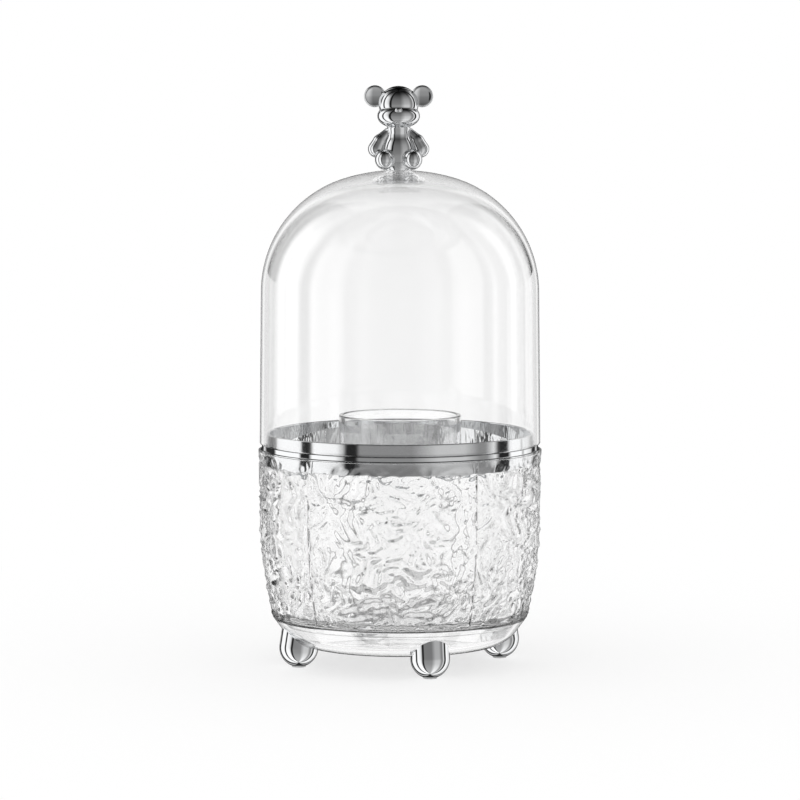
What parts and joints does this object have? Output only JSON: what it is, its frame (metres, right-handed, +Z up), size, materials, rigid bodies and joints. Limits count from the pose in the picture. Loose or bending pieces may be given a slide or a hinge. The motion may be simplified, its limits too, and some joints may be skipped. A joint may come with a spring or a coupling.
{
  "type": "domed cotton swab and pad canister",
  "caption": "Clear domed canister for cotton swabs and pads, with a rippled cup, plated ring and feet, a lift-out inner cup and a lift-off dome lid with a bear knob.",
  "frame": {"origin": "on the table under the middle of the canister, at the height of the foot pads' undersides", "axes": "+Z up along the canister's axis, -Y towards the front that the bear faces, +X to the right as seen from the front"},
  "size_m": [0.122, 0.122, 0.249],
  "materials": {
    "clear_styrene": "polished",
    "rippled_styrene": "polished",
    "chrome_plating": "polished",
    "pad_vinyl": "satin"
  },
  "bodies": {
    "base": {"base_dish": "clear_styrene", "ripple_cup": "rippled_styrene", "collar_ring": "chrome_plating", "foot_front": "chrome_plating", "foot_right": "chrome_plating", "foot_back": "chrome_plating", "foot_left": "chrome_plating", "foot_pad_front": "pad_vinyl", "foot_pad_right": "pad_vinyl", "foot_pad_back": "pad_vinyl", "foot_pad_left": "pad_vinyl"},
    "cup": {"inner_cup": "clear_styrene"},
    "lid": {"dome_cover": "clear_styrene", "bear_knob": "chrome_plating"}
  },
  "joints": [
    {"name": "lid_lift", "type": "slide", "parent": "base", "child": "lid", "axis": [0, 0, 1], "range_m": [0, 0.12]},
    {"name": "cup_lift", "type": "slide", "parent": "base", "child": "cup", "axis": [0, 0, 1], "range_m": [0, 0.085]}
  ]
}
